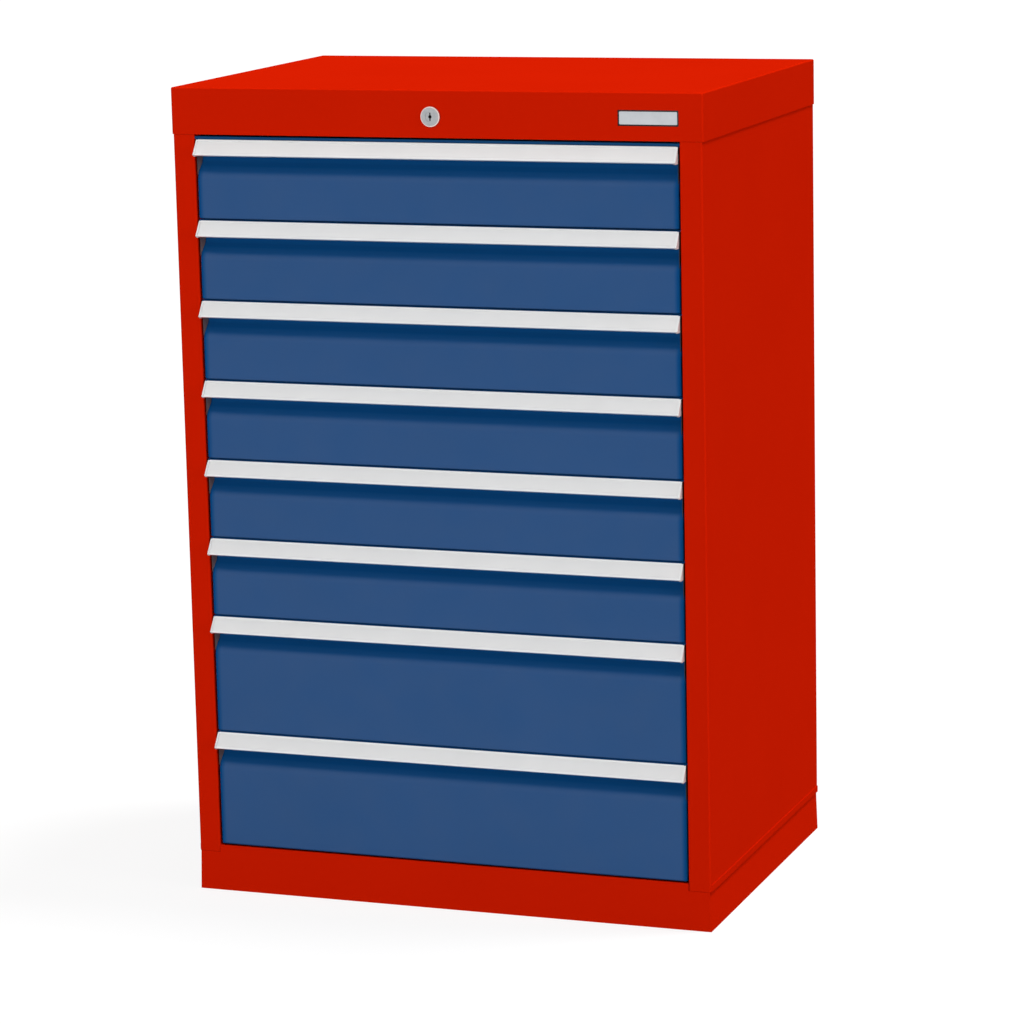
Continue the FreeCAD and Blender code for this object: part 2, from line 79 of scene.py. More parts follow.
def addNoise(tree, coords, size, detail=2.0, roughness=0.5):
    noise = addNode(tree, "ShaderNodeTexNoise",
                    values={"Scale": 1 / size, "Detail": detail, "Roughness": roughness})
    tree.links.new(coords, noise.inputs["Vector"])
    return noise.outputs["Fac"]


def addRange(tree, factor, low, high, fromLow=0.3, fromHigh=0.7):
    spread = addNode(tree, "ShaderNodeMapRange", values={
        "From Min": fromLow, "From Max": fromHigh, "To Min": low, "To Max": high})
    tree.links.new(factor, spread.inputs["Value"])
    return spread.outputs["Result"]


def addColourMix(tree, factor, first, second):
    mix = addNode(tree, "ShaderNodeMix", {"data_type": "RGBA"})
    mix.inputs["A"].default_value = (*first, 1)
    mix.inputs["B"].default_value = (*second, 1)
    for socket in mix.inputs:
        if socket.name == "Factor" and socket.type == "VALUE":
            tree.links.new(factor, socket)
            break
    return next(out for out in mix.outputs if out.type == "RGBA")


def addBump(tree, height, depth, strength=1.0, below=None):
    bump = addNode(tree, "ShaderNodeBump", values={"Strength": strength, "Distance": depth})
    tree.links.new(height, bump.inputs["Height"])
    if below:
        tree.links.new(below, bump.inputs["Normal"])
    return bump.outputs["Normal"]


# Finishes

redCoat = {
    "name": "redPowderCoat",
    "colour": (0.557, 0.0106, 0.0004),
    "thin": (0.543, 0.0100, 0.0003),
    "patch": 0.14,
    "roughness": (0.40, 0.52),
    "specular": 0.0, "paintedShadeLift": 1.0,
    "peel": 1.6 * mm, "peelDepth": 0.012 * mm,
    "grain": 0.35 * mm, "grainDepth": 0.003 * mm,
}
blueCoat = {
    "name": "bluePowderCoat",
    "colour": (0.0036, 0.0530, 0.1740),
    "thin": (0.0032, 0.0510, 0.1670),
    "patch": 0.14,
    "roughness": (0.38, 0.48),
    "specular": 0.50, "paintedShadeLift": 1.16,
    "peel": 1.4 * mm, "peelDepth": 0.012 * mm,
    "grain": 0.35 * mm, "grainDepth": 0.003 * mm,
}
# painted shade: darker and less shiny than the fronts' blue, standing in for the shade under the top
# cover's skirt
railShadeCoat = {**blueCoat, "name": "blueRailShadeCoat", "specular": 0.12,
            "colour": (0.0030, 0.0460, 0.1350), "thin": (0.0027, 0.0440, 0.1300)}
greyCoat = {
    "name": "greyTrayPaint",
    "colour": (0.50, 0.51, 0.51),
    "thin": (0.46, 0.47, 0.475),
    "patch": 0.09,
    "roughness": (0.36, 0.50),
    "specular": 0.4, "paintedShadeLift": 1.0,
    "peel": 1.5 * mm, "peelDepth": 0.014 * mm,
    "grain": 0.35 * mm, "grainDepth": 0.003 * mm,
}


def powderCoat(coat):
    material, tree, shader = startMaterial(coat["name"])
    coords = pieceCoords(tree)
    patches = addNoise(tree, coords, coat["patch"], detail=4)
    colour = addColourMix(tree, addRange(tree, patches, 0, 1), coat["colour"], coat["thin"])
    peel = addNoise(tree, coords, coat["peel"], detail=1)
    grain = addNoise(tree, coords, coat["grain"], detail=1)
    normal = addBump(tree, peel, coat["peelDepth"])
    normal = addBump(tree, grain, coat["grainDepth"], below=normal)
    # the shine changes over patches a third as large as the colour's
    shine = addNoise(tree, coords, coat["patch"] / 3, detail=3)
    shine = addRange(tree, shine, *coat["roughness"])
    tree.links.new(shine, shader.inputs["Roughness"])
    tree.links.new(normal, shader.inputs["Normal"])
    # painted shade and light: folds and the inside of a recess lose their shine and are made clearer
    # in colour, standing in for the shade there
    paintedShadeInput = addNode(tree, "ShaderNodeAttribute", {"attribute_name": "paintedShade"})
    gloss = addRange(tree, paintedShadeInput.outputs["Fac"], coat["specular"], 0, 0, 1)
    tree.links.new(gloss, shader.inputs["Specular IOR Level"])
    clearer = addNode(tree, "ShaderNodeHueSaturation")
    tree.links.new(colour, clearer.inputs["Color"])
    tree.links.new(addRange(tree, paintedShadeInput.outputs["Fac"], 1, coat["paintedShadeLift"], 0, 1),
                   clearer.inputs["Value"])
    tree.links.new(clearer.outputs["Color"], shader.inputs["Base Color"])
    return material


zincFinish = {
    "name": "zincPlatedSteel",
    "colour": (0.56, 0.57, 0.575),
    "shade": (0.45, 0.46, 0.47),
    "flake": 5 * mm,
    "roughness": (0.26, 0.42),
    "draw": (3, 0.03, 3),
    "line": 0.5 * mm, "lineDepth": 0.004 * mm,
}
handleFinish = {
    "name": "anodisedAluminium",
    "colour": (0.86, 0.865, 0.87),
    "shade": (0.81, 0.815, 0.82),
    "flake": 30 * mm,
    "roughness": (0.36, 0.46),
    "draw": (0.02, 1, 1),
    "line": 0.25 * mm, "lineDepth": 0.004 * mm,
}
lockFinish = {
    "name": "satinNickel",
    "colour": (0.47, 0.48, 0.49),
    "shade": (0.40, 0.41, 0.42),
    "flake": 4 * mm,
    "roughness": (0.34, 0.46),
    "draw": (1, 1, 1),
    "line": 0.3 * mm, "lineDepth": 0.003 * mm,
}
# painted highlight: a pale pinkish nickel standing in for the rim's highlight with the red cover
# reflected in it
rimHighlightFinish = {
    **lockFinish, "name": "paintedHighlightNickel",
    "colour": (0.88, 0.71, 0.67), "shade": (0.82, 0.66, 0.62), "roughness": (0.22, 0.32),
}
plateFinish = {
    "name": "plateAluminium",
    "colour": (0.60, 0.625, 0.65),
    "shade": (0.55, 0.575, 0.60),
    "flake": 12 * mm,
    "roughness": (0.38, 0.48),
    "draw": (0.03, 1, 1),
    "line": 0.2 * mm, "lineDepth": 0.003 * mm,
}


def drawnMetal(finish):
    material, tree, shader = startMaterial(finish["name"])
    flake = addNoise(tree, pieceCoords(tree), finish["flake"], detail=3)
    lines = addNoise(tree, pieceCoords(tree, finish["draw"]), finish["line"], detail=2)
    colour = addColourMix(tree, addRange(tree, flake, 0, 1), finish["colour"], finish["shade"])
    tree.links.new(colour, shader.inputs["Base Color"])
    tree.links.new(addRange(tree, lines, *finish["roughness"]), shader.inputs["Roughness"])
    tree.links.new(addBump(tree, lines, finish["lineDepth"]), shader.inputs["Normal"])
    shader.inputs["Metallic"].default_value = 1.0
    return material


cardFinish = {
    "name": "labelCard",
    "colour": (0.765, 0.765, 0.762),
    "fibre": (0.74, 0.74, 0.738),
    "size": 1.2 * mm, "depth": 0.01 * mm,
    "roughness": 0.5,
    "coat": 0.15,
}
capFinish = {
    "name": "greyMouldedPlastic",
    "colour": (0.765, 0.765, 0.762),
    "fibre": (0.74, 0.74, 0.738),
    "size": 0.6 * mm, "depth": 0.01 * mm,
    "roughness": 0.42,
    "coat": 0.0,
}
# painted shade: the webs are a dark brown grey standing in for the shade in the recess, with a
# painted red cast from the posts
webShadeFinish = {
    "name": "webPaintedShadePlastic",
    "colour": (0.300, 0.180, 0.165),
    "fibre": (0.275, 0.165, 0.150),
    "size": 0.6 * mm, "depth": 0.01 * mm,
    "roughness": 0.55,
    "coat": 0.0,
}
# painted shade: near-black, used on the plate's carrier, the lock flange's side, the webs' outer
# sides and the keyway, where there is only shade
shadeDarkFinish = {
    "name": "paintedShadeDarkPlastic",
    "colour": (0.020, 0.016, 0.016),
    "fibre": (0.028, 0.022, 0.022),
    "size": 0.6 * mm, "depth": 0.01 * mm,
    "roughness": 0.5,
    "coat": 0.0,
}


broadness = 40  # broad patches against the fine grain
mouldedShine = 0.35


def mouldedOrCard(finish):
    material, tree, shader = startMaterial(finish["name"])
    fine = addNoise(tree, pieceCoords(tree), finish["size"], detail=3)
    broad = addNoise(tree, pieceCoords(tree), finish["size"] * broadness, detail=2)
    colour = addColourMix(tree, addRange(tree, broad, 0, 1), finish["colour"], finish["fibre"])
    tree.links.new(colour, shader.inputs["Base Color"])
    tree.links.new(addBump(tree, fine, finish["depth"]), shader.inputs["Normal"])
    shader.inputs["Roughness"].default_value = finish["roughness"]
    shader.inputs["Coat Weight"].default_value = finish["coat"]
    shader.inputs["Specular IOR Level"].default_value = mouldedShine
    return material


redPaint = powderCoat(redCoat)
bluePaint = powderCoat(blueCoat)
railShadePaint = powderCoat(railShadeCoat)
trayPaint = powderCoat(greyCoat)
zincSteel = drawnMetal(zincFinish)
handleMetal = drawnMetal(handleFinish)
lockMetal = drawnMetal(lockFinish)
rimHighlightMetal = drawnMetal(rimHighlightFinish)
plateMetal = drawnMetal(plateFinish)
labelCard = mouldedOrCard(cardFinish)
capPlastic = mouldedOrCard(capFinish)
shadeDarkPlastic = mouldedOrCard(shadeDarkFinish)
webShadePlastic = mouldedOrCard(webShadeFinish)
print("finishes made:", len(bpy.data.materials))


# Mesh helpers

weldDistance = 0.002 * mm
touching = 0.01 * mm


def cornerArc(before, corner, after, radius, steps):
    # points of the arc that rounds one corner of an outline
    before, corner, after = Vector(before), Vector(corner), Vector(after)
    if radius <= 0:
        return [corner]
    back = (before - corner).normalized()
    ahead = (after - corner).normalized()
    half = back.angle(ahead) / 2
    middle = (back + ahead).normalized()
    centre = corner + middle * (radius / math.sin(half))
    start = corner + back * (radius / math.tan(half)) - centre
    turn = start.angle_signed(corner + ahead * (radius / math.tan(half)) - centre)
    return [centre + Matrix.Rotation(-turn * step / steps, 2) @ start for step in range(steps + 1)]


def openPath(points, radii, steps):
    path = [Vector(points[0])]
    for index, radius in enumerate(radii, start=1):
        path += cornerArc(points[index - 1], points[index], points[index + 1], radius, steps)
    return path + [Vector(points[-1])]


def closedPath(points, radii, steps):
    path = []
    for index, radius in enumerate(radii):
        path += cornerArc(points[index - 1], points[index], points[(index + 1) % len(points)],
                          radius, steps)
    return path


def insetPath(points, distance):
    # the same closed outline with every side moved inwards, for outlines that run clockwise
    moved = []
    for index, corner in enumerate(points):
        corner = Vector(corner)
        back = (Vector(points[index - 1]) - corner).normalized()
        ahead = (Vector(points[(index + 1) % len(points)]) - corner).normalized()
        backSide = Vector((-back.y, back.x))
        aheadSide = Vector((ahead.y, -ahead.x))
        middle = (backSide + aheadSide).normalized()
        moved.append(corner + middle * (distance / middle.dot(backSide)))
    return moved


def makePiece(name, mesh, material, body, smoothAngle=35):
    piece = bpy.data.objects.new(name, mesh)
    bpy.context.scene.collection.objects.link(piece)
    mesh.materials.append(material)
    mesh.shade_smooth()
    mesh.set_sharp_from_angle(angle=math.radians(smoothAngle))
    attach(piece, body)
    return piece


def meshFromBmesh(name, shape):
    bmesh.ops.recalc_face_normals(shape, faces=shape.faces)
    mesh = bpy.data.meshes.new(name)
    shape.to_mesh(mesh)
    shape.free()
    return mesh


def bridgeRings(shape, first, second):
    # quads between two closed rings of vertices
    for index in range(len(first)):
        following = (index + 1) % len(first)
        shape.faces.new((first[index], first[following], second[following], second[index]))


def roundEdges(shape, edges, radius, segments):
    bmesh.ops.bevel(shape, geom=edges, offset=radius, segments=segments, profile=0.5,
                    affect="EDGES", clamp_overlap=True)


def addBar(shape, outline, xLow, xHigh, place):
    # a solid bar along X with the outline as its section
    ends = [[shape.verts.new((x, *place(point))) for point in outline] for x in (xLow, xHigh)]
    bridgeRings(shape, *ends)
    shape.faces.new(ends[0])
    shape.faces.new(list(reversed(ends[1])))


def addTurned(shape, profile, centre, steps):
    # a ring about an axis along Y: profile is a closed list of (radius, y)
    rings = []
    for step in range(steps):
        angle = math.tau * step / steps
        rings.append([shape.verts.new((centre.x + radius * math.cos(angle), centre.y + y,
                                       centre.z + radius * math.sin(angle)))
                      for radius, y in profile])
    for step in range(steps):
        bridgeRings(shape, rings[step], rings[(step + 1) % steps])


def addDome(shape, centre, direction, radius, height, rings=4, steps=20):
    # a low round head, such as a rivet's
    turn = Vector((0, 0, 1)).rotation_difference(Vector(direction)).to_matrix()
    angles = [math.tau * step / steps for step in range(steps)]
    layers = []
    for ring in range(rings):
        rise = math.sin(math.pi / 2 * ring / rings) * height
        spread = math.cos(math.pi / 2 * ring / rings) * radius
        layers.append([shape.verts.new(Vector(centre) + turn @ Vector(
            (spread * math.cos(angle), spread * math.sin(angle), rise))) for angle in angles])
    top = shape.verts.new(Vector(centre) + turn @ Vector((0, 0, height)))
    for low, high in zip(layers, layers[1:]):
        bridgeRings(shape, low, high)
    for step in range(steps):
        shape.faces.new((layers[-1][step], layers[-1][(step + 1) % steps], top))
    shape.faces.new(list(reversed(layers[0])))


# Drawer fronts: one folded sheet with a finger recess under the handle

frontSheet = {
    "sheet": 1.0 * mm,
    "recess": 17.0 * mm, "wallFoot": 28.0 * mm, "recessHeight": 43.0 * mm,
    # radii from the top edge down, the third where the painted shade starts to fade out
    "bends": (0.5 * mm, 8 * mm, 0, 18 * mm, 2.5 * mm, 2.0 * mm),
    "lip": 12.0 * mm,
    "sideBend": 2.4 * mm, "sideRamp": 5.3 * mm, "sideFade": 5.0 * mm,
    # depths in the recess at which the shine starts and is full; deeper in, the shine is taken out as
    # painted shade
    "glossFrom": 11.0 * mm, "glossFull": 1.0 * mm,
    "bendSteps": 12, "sideSteps": 6,
}


def sideView(panelY, top):
    # turns (out of the panel, up from its top edge) into y and z
    return lambda point: (panelY - point[0], top + point[1])


def inwardNormals(path):
    # unit vectors at an open path's points, towards the inside of the fold
    normals = []
    for index, point in enumerate(path):
        before = path[max(index - 1, 0)]
        after = path[min(index + 1, len(path) - 1)]
        run = (after - before).normalized()
        normals.append(Vector((run.y, -run.x)))
    return normals


def makeFront(number):
    size = frontSheet
    low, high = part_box(f"drawer_front_{number}")
    drop = low.z - high.z
    back = -size["recess"] - size["sheet"]
    glossUp = size["glossFrom"] / size["recess"] * (
        size["recessHeight"] - size["wallFoot"]) - size["recessHeight"]
    points = [(-size["sheet"], -size["sheet"]), (-size["recess"], -size["sheet"]),
              (-size["recess"], -size["wallFoot"]), (-size["glossFrom"], glossUp),
              (0, -size["recessHeight"]), (0, drop), (back, drop), (back, drop + size["lip"])]
    path = openPath(points, size["bends"], size["bendSteps"])
    inward = inwardNormals(path)
    place = sideView(low.y, high.z)
    # the panel's side edges are bent round, the recess's are cut square
    panel, folded = [], []
    for point in path:
        underside = point.y < drop / 2
        ramp = size["recess"] if underside else size["sideRamp"]
        panel.append(min(max(1 + point.x / ramp, 0), 1))
        inside = (-point.x - size["glossFull"]) / (size["glossFrom"] - size["glossFull"])
        folded.append(min(max(inside, 0), 1))
    turns = [math.pi / 2 * step / size["sideSteps"] for step in range(size["sideSteps"] + 1)]
    # columns: across, depth into the side bend, and its share of painted edge shade
    columns = [(size["sideBend"] * (1 - math.cos(turn)), 1 - math.sin(turn), 1) for turn in turns]
    columns.append((size["sideBend"] + size["sideFade"], 0, 0))
    shape = bmesh.new()
    paintedShade = shape.verts.layers.float.new("paintedShade")
    rows = []
    for side, edge in ((1, low.x), (-1, high.x)):
        for across, depth, edgeShadeShare in columns if side == 1 else reversed(columns):
            row = []
            for point, way, share, fold in zip(path, inward, panel, folded):
                sunk = point + way * (size["sideBend"] * share * depth)
                vert = shape.verts.new((edge + side * across, *place(sunk)))
                # painted shade on the side bends and in the recess, carried by the mesh's attribute
                vert[paintedShade] = max(edgeShadeShare, fold)
                row.append(vert)
            rows.append(row)
    for left, right in zip(rows, rows[1:]):
        for index in range(len(path) - 1):
            shape.faces.new((left[index], left[index + 1], right[index + 1], right[index]))
    wallEnd = 2 + size["bendSteps"]  # where the recess's wall starts to bend
    for row in (rows[0], rows[-1]):
        corner = shape.verts.new((row[0].co.x, *place((back, path[wallEnd].y))))
        end = row[wallEnd:] + [corner]
        shape.faces.new(end if row is rows[0] else list(reversed(end)))
    mesh = meshFromBmesh(f"drawerFront_{number}", shape)
    piece = makePiece(mesh.name, mesh, bluePaint, f"drawer_{number}", smoothAngle=40)
    sheet = piece.modifiers.new("sheet", "SOLIDIFY")
    sheet.thickness = size["sheet"]
    sheet.offset = -1
    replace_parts(piece, f"drawer_front_{number}")


for number in drawerNumbers:
    makeFront(number)
print("drawer fronts folded")


# Handles: aluminium strips on a slope, with a slot for a card and a bead to grip

handleStrip = {
    "reach": 12.7 * mm, "drop": 18.1 * mm,
    "lip": 2.2 * mm, "lipWall": 0.5 * mm, "overhang": 0.8 * mm,
    "slot": 0.5 * mm, "wall": 1.2 * mm,
    "leg": 15.0 * mm, "legWall": 1.4 * mm, "land": 0.8 * mm,
    "bead": 1.3 * mm, "beadSteps": 16, "edge": 0.25 * mm, "bendSteps": 4,
}
cardStrip = {"thick": 0.4 * mm, "play": 0.2 * mm, "edge": 0.08 * mm, "bendSteps": 3}
slopeLength = math.hypot(handleStrip["reach"], handleStrip["drop"])


def slopePoint(along, out):
    # point on the handle's section: down its slope from the top edge, and out from its face
    run = Vector((handleStrip["reach"], -handleStrip["drop"])) / slopeLength
    normal = Vector((handleStrip["drop"], handleStrip["reach"])) / slopeLength
    return run * along + normal * out


def makeHandle(number):
    size = handleStrip
    sheet = frontSheet["sheet"]
    low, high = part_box(f"handle_{number}")
    lip, under = size["lip"], -size["lipWall"]
    seat = under - size["slot"]
    back = seat - size["wall"]
    inner = lip - size["overhang"]
    end = slopeLength
    edge = size["edge"]
    legLow = -sheet - size["legWall"]
    legStart = (-legLow + back * size["reach"] / slopeLength) * slopeLength / size["drop"]
    bead = [slopePoint(end - size["bead"] + size["bead"] * math.cos(turn),
                       seat - size["bead"] - size["bead"] * math.sin(turn))
            for turn in [math.pi * step / size["beadSteps"] for step in range(size["beadSteps"])]]
    corners = [
        (slopePoint(0, 0), edge), (slopePoint(lip, 0), edge / 2), (slopePoint(lip, under), 0),
        (slopePoint(inner, under), 0), (slopePoint(inner, seat), 0),
        (slopePoint(end - inner, seat), 0), (slopePoint(end - inner, under), 0),
        (slopePoint(end - lip, under), 0),
        (slopePoint(end - lip, 0), edge / 2), (slopePoint(end, 0), edge),
    ] + [(point, 0) for point in bead] + [
        (slopePoint(end - 2 * size["bead"], back), 0), (slopePoint(legStart, back), 0),
        (Vector((-size["leg"], legLow)), edge), (Vector((-size["leg"], -sheet)), edge),
        (Vector((-size["land"], -sheet)), 0), (Vector((-size["land"], 0)), edge / 2),
    ]
    outline = closedPath([corner for corner, _ in corners], [radius for _, radius in corners],
                         size["bendSteps"])
    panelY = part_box(f"drawer_front_{number}")[0].y
    shape = bmesh.new()
    addBar(shape, outline, low.x, high.x, sideView(panelY, high.z))
    bmesh.ops.remove_doubles(shape, verts=shape.verts, dist=weldDistance)
    mesh = meshFromBmesh(f"handleStrip_{number}", shape)
    piece = makePiece(mesh.name, mesh, handleMetal, f"drawer_{number}")
    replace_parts(piece, f"handle_{number}")


def makeCard(number):
    size = handleStrip
    low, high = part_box(f"label_strip_{number}")
    first = size["lip"] - size["overhang"] + cardStrip["play"]
    seat = -size["lipWall"] - size["slot"]
    face = seat + cardStrip["thick"]
    corners = [slopePoint(first, face), slopePoint(slopeLength - first, face),
               slopePoint(slopeLength - first, seat), slopePoint(first, seat)]
    outline = closedPath(corners, [cardStrip["edge"]] * 4, cardStrip["bendSteps"])
    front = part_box(f"drawer_front_{number}")
    shape = bmesh.new()
    addBar(shape, outline, low.x, high.x, sideView(front[0].y, front[1].z))
    mesh = meshFromBmesh(f"labelCard_{number}", shape)
    piece = makePiece(mesh.name, mesh, labelCard, f"drawer_{number}")
    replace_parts(piece, f"label_strip_{number}")


# End caps: moulded, one at each end of the handle, closing the recess as well

endCap = {
    "head": 2.5 * mm, "web": 0.6 * mm, "fit": 0.25 * mm, "rim": 0.4 * mm, "nose": 0.1 * mm,
    "trim": 0.8, "apex": 1.5 * mm, "edge": 0.3 * mm,
}


def makeCaps(number):
    size, sheet, recess = endCap, frontSheet["sheet"], frontSheet["recess"]
    reach, drop = handleStrip["reach"], handleStrip["drop"]
    wallFoot, lowest = frontSheet["wallFoot"], frontSheet["recessHeight"]
    underBead = handleStrip["lipWall"] + handleStrip["slot"] + 2 * handleStrip["bead"]
    foot = slopePoint(slopeLength + size["rim"], -underBead)
    steep = math.atan2(recess, lowest - wallFoot)
    ease = frontSheet["bends"][1] * math.tan(steep / 2)
    headCorners = [
        (0, size["rim"]), (reach + size["rim"], -drop + size["rim"]),
        (reach + size["rim"], -drop - size["nose"]), foot, (0, foot.y),
    ]
    webCorners = [
        (-sheet, size["rim"]), (0, size["rim"]), (0, -lowest - size["apex"]),
        (-recess * (1 - size["trim"]), -wallFoot - (lowest - wallFoot) * size["trim"]),
        (ease * math.sin(steep) - recess, -ease * math.cos(steep) - wallFoot),
        (-recess, ease - wallFoot), (-recess, -sheet), (-sheet, -sheet),
    ]
    low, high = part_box(f"end_caps_{number}")
    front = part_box(f"drawer_front_{number}")
    place = sideView(front[0].y, front[1].z)
    for part, corners, thick, finish in (("capHeads", headCorners, size["head"], capPlastic),
                                         ("capWebs", webCorners, size["web"], webShadePlastic)):
        outline = insetPath(corners, size["fit"])
        shape = bmesh.new()
        addBar(shape, outline, low.x, low.x + thick, place)
        addBar(shape, outline, high.x - thick, high.x, place)
        outer = [edge for edge in shape.edges
                 if all(abs(abs(vert.co.x) - high.x) < touching for vert in edge.verts)]
        roundEdges(shape, outer, size["edge"], 3)
        mesh = meshFromBmesh(f"{part}_{number}", shape)
        piece = makePiece(mesh.name, mesh, finish, f"drawer_{number}")
        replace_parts(piece, f"end_caps_{number}")
        if part == "capWebs":  # their outer sides and edges take the near-black finish as painted shade; only their inner sides face the open recess
            mesh.materials.append(shadeDarkPlastic)
            for face in mesh.polygons:
                face.material_index = int(abs(face.center.x) > high.x - thick + touching)


for number in drawerNumbers:
    makeHandle(number)
    makeCard(number)
    makeCaps(number)
print("handles, cards and end caps fitted")


# Lock: a flanged body and its turning plug in the top cover's skirt

lockBody = {
    "flange": 12.5 * mm, "proud": 2.5 * mm, "body": 9.25 * mm, "length": 19.0 * mm,
    "bore": 6.05 * mm, "rim": 1.3 * mm, "boreEdge": 0.2 * mm, "bodyEdge": 0.3 * mm,
    "edgeSteps": 6, "steps": 96,
}


def makeLock():
    size = lockBody
    low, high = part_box("lock_housing")
    skirtY = low.y + size["proud"]
    centre = Vector((0, skirtY, (low.z + high.z) / 2))
    proud, flange, bore = -size["proud"], size["flange"], size["bore"]
    corners = [(flange, 0), (flange, proud), (bore, proud), (bore, size["length"]),
               (size["body"], size["length"]), (size["body"], 0)]
    radii = [0, size["rim"], size["boreEdge"], 0, size["bodyEdge"], 0]
    profile = closedPath(corners, radii, size["edgeSteps"])
    shape = bmesh.new()
    addTurned(shape, [tuple(point) for point in profile], centre, size["steps"])
    mesh = meshFromBmesh("lockBody", shape)
    piece = makePiece(mesh.name, mesh, lockMetal, "cabinet")
    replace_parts(piece, "lock_housing")
    # painted highlight and shade: the flange's rounded rim takes the pale pink highlight finish, and
    # its side against the skirt the near-black finish
    mesh.materials.append(rimHighlightMetal)
    mesh.materials.append(shadeDarkPlastic)
    for face in mesh.polygons:
        out = face.center - centre
        if math.hypot(out.x, out.z) > flange - size["rim"]:
            face.material_index = 1 if out.y < proud + size["rim"] else 2


makeLock()


# Name plate: a blank plate on a carrier that clips into its window from behind; the carrier is
# near-black as painted shade in the gap round the plate

platePiece = {
    "flange": 3.9 * mm, "corner": 1.6 * mm, "cornerSteps": 6, "edge": 0.15 * mm,
    "carrier": 1.2 * mm, "rim": 1.0 * mm, "rimDepth": 0.2 * mm,
}


def addRoundedBlock(shape, low, high, corner, edge):
    # a plate facing -Y with rounded corners and softened front edges
    points = [(low.x, low.z), (high.x, low.z), (high.x, high.z), (low.x, high.z)]
    outline = closedPath(points, [corner] * 4, platePiece["cornerSteps"])
    rings = [[shape.verts.new((x, y, z)) for x, z in outline] for y in (low.y, high.y)]
    bridgeRings(shape, *rings)
    front = shape.faces.new(rings[0])
    shape.faces.new(list(reversed(rings[1])))
    roundEdges(shape, list(front.edges), edge, 2)


def makePlate():
    size = platePiece
    low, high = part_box("name_plate")
    inset = Vector((size["flange"], 0, size["flange"]))
    rim = Vector((size["rim"], 0, size["rim"]))
    carrierY = high.y - size["carrier"]
    faceLow = low + inset
    faceHigh = Vector((high.x, carrierY, high.z)) - inset
    shape = bmesh.new()
    addRoundedBlock(shape, faceLow + rim, faceHigh - rim,
                    size["corner"] - size["rim"] / 2, size["edge"])
    mesh = meshFromBmesh("blankPlate", shape)
    plate = makePiece(mesh.name, mesh, plateMetal, "cabinet")
    shape = bmesh.new()
    addRoundedBlock(shape, faceLow + Vector((0, size["rimDepth"], 0)), faceHigh,
                    size["corner"], size["edge"])
    addRoundedBlock(shape, Vector((low.x, carrierY, low.z)), high, size["corner"], size["edge"])
    mesh = meshFromBmesh("plateCarrier", shape)
    carrier = makePiece(mesh.name, mesh, shadeDarkPlastic, "cabinet")
    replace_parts(plate, "name_plate")
    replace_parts(carrier, "name_plate")


makePlate()
print("lock and plate fitted")


# Top rail: a small angle in the slot over the top drawer

topRail = {"sheet": 1.2 * mm, "slot": 2.2 * mm, "drop": 0.9 * mm}


def makeTopRail():
    low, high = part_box("top_rail")
    sheet, top = topRail["sheet"], high.z - topRail["slot"]
    foot = low.z - topRail["drop"]
    outline = [(low.y, foot), (low.y + sheet, foot), (low.y + sheet, top - sheet),
               (high.y, top - sheet), (high.y, top), (low.y, top)]
    shape = bmesh.new()
    addBar(shape, outline, low.x, high.x, tuple)
    mesh = meshFromBmesh("topAngle", shape)
    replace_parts(makePiece(mesh.name, mesh, railShadePaint, "cabinet"), "top_rail")


makeTopRail()
print("top rail fitted")


# Fasteners: rivets through the tray walls into the slides, screws that hold the fronts

fasteners = {
    "rivet": 3.2 * mm, "rivetRise": 1.1 * mm, "rivetFromEnd": 45 * mm, "rivetCount": 4,
    "screw": 4.0 * mm, "screwRise": 1.8 * mm,
    "screwFromSide": 60 * mm, "screwFromEdge": 18 * mm,
    "wall": 1.0 * mm, "trayHalf": 289 * mm,
}


def makeFasteners(number):
    size = fasteners
    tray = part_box(f"drawer_tray_{number}")
    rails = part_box(f"middle_rails_{number}")
    slideZ = (rails[0].z + rails[1].z) / 2
    wallX = size["trayHalf"] - size["wall"]
    shape = bmesh.new()
    first, last = rails[0].y + size["rivetFromEnd"], rails[1].y - size["rivetFromEnd"]
    for index in range(size["rivetCount"]):
        y = first + (last - first) * index / (size["rivetCount"] - 1)
        for side in (-1, 1):
            addDome(shape, (side * wallX, y, slideZ), (-side, 0, 0), size["rivet"], size["rivetRise"])
    wallY = tray[0].y + size["wall"]
    for side in (-1, 1):
        for z in (tray[0].z + size["screwFromEdge"], tray[1].z - size["screwFromEdge"]):
            addDome(shape, (side * (wallX - size["screwFromSide"]), wallY, z), (0, 1, 0),
                    size["screw"], size["screwRise"])
    mesh = meshFromBmesh(f"trayFasteners_{number}", shape)
    makePiece(mesh.name, mesh, zincSteel, f"drawer_{number}", smoothAngle=50)


for number in drawerNumbers:
    makeFasteners(number)
print("rivets and screws set")


# Finishes of the CAD pieces, by slot, and painted shade in the keyway of the plug

slotFinish = {
    "body_paint": redPaint, "front_paint": bluePaint, "tray_paint": trayPaint,
    "handle_aluminium": handleMetal, "label_card": labelCard, "cap_plastic": capPlastic,
    "zinc_steel": zincSteel, "lock_metal": lockMetal, "plate_metal": plateMetal,
}
for part in frame["record"]["subparts"]:
    node = frame["nodes"][part["node"]]
    node.data.materials.clear()
    node.data.materials.append(slotFinish[part["material_slot"]])

keyway = {"from": 0.1 * mm, "to": 9.2 * mm, "reach": 5.2 * mm}


def paintKeywayShade():
    # painted shade: the walls and the floor of the keyway in the plug are made near-black
    plug = frame["nodes"]["lock_plug"].data
    plug.materials.append(shadeDarkPlastic)
    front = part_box("lock_plug")[0].y
    low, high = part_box("lock_housing")
    for face in plug.polygons:
        out = math.hypot(face.center.x, face.center.z - (low.z + high.z) / 2)
        if keyway["from"] < face.center.y - front < keyway["to"] and out < keyway["reach"]:
            face.material_index = 1


paintKeywayShade()
print("CAD pieces dressed")


# Floor, light and camera

